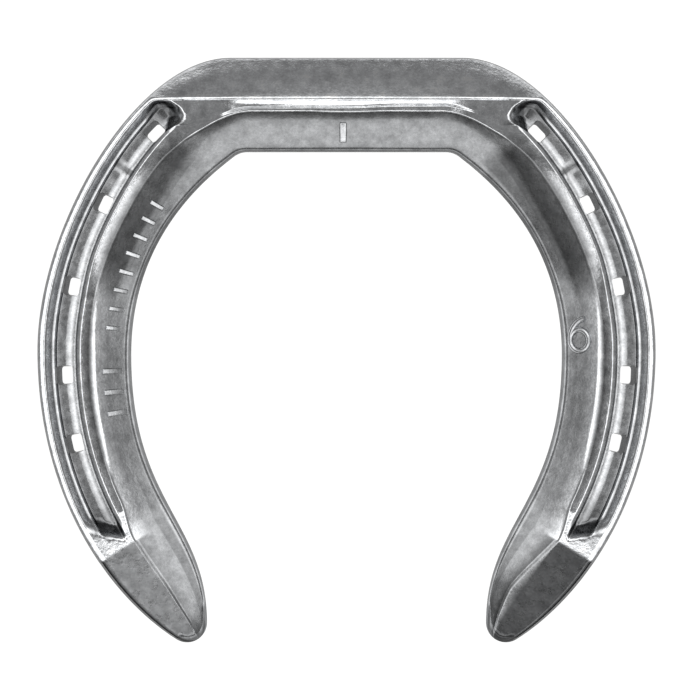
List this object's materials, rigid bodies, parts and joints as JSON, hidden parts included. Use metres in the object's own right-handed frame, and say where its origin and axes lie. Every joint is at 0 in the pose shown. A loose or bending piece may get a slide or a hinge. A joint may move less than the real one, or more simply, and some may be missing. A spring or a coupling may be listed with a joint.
{
  "type": "horseshoe",
  "caption": "Forged aluminium racing horseshoe with a rolled square toe, creased branches with nail holes and bevelled heels.",
  "frame": {"origin": "middle of the shoe's outline on the foot surface, which lies at z = 0", "axes": "+Y towards the toe, +X across the branches, +Z out of the ground surface"},
  "size_m": [0.128, 0.121, 0.008],
  "materials": {
    "forged_aluminium": "as-forged, ground faces polished by trimming"
  },
  "bodies": {
    "root": {"forged_shoe": "forged_aluminium"}
  },
  "joints": []
}
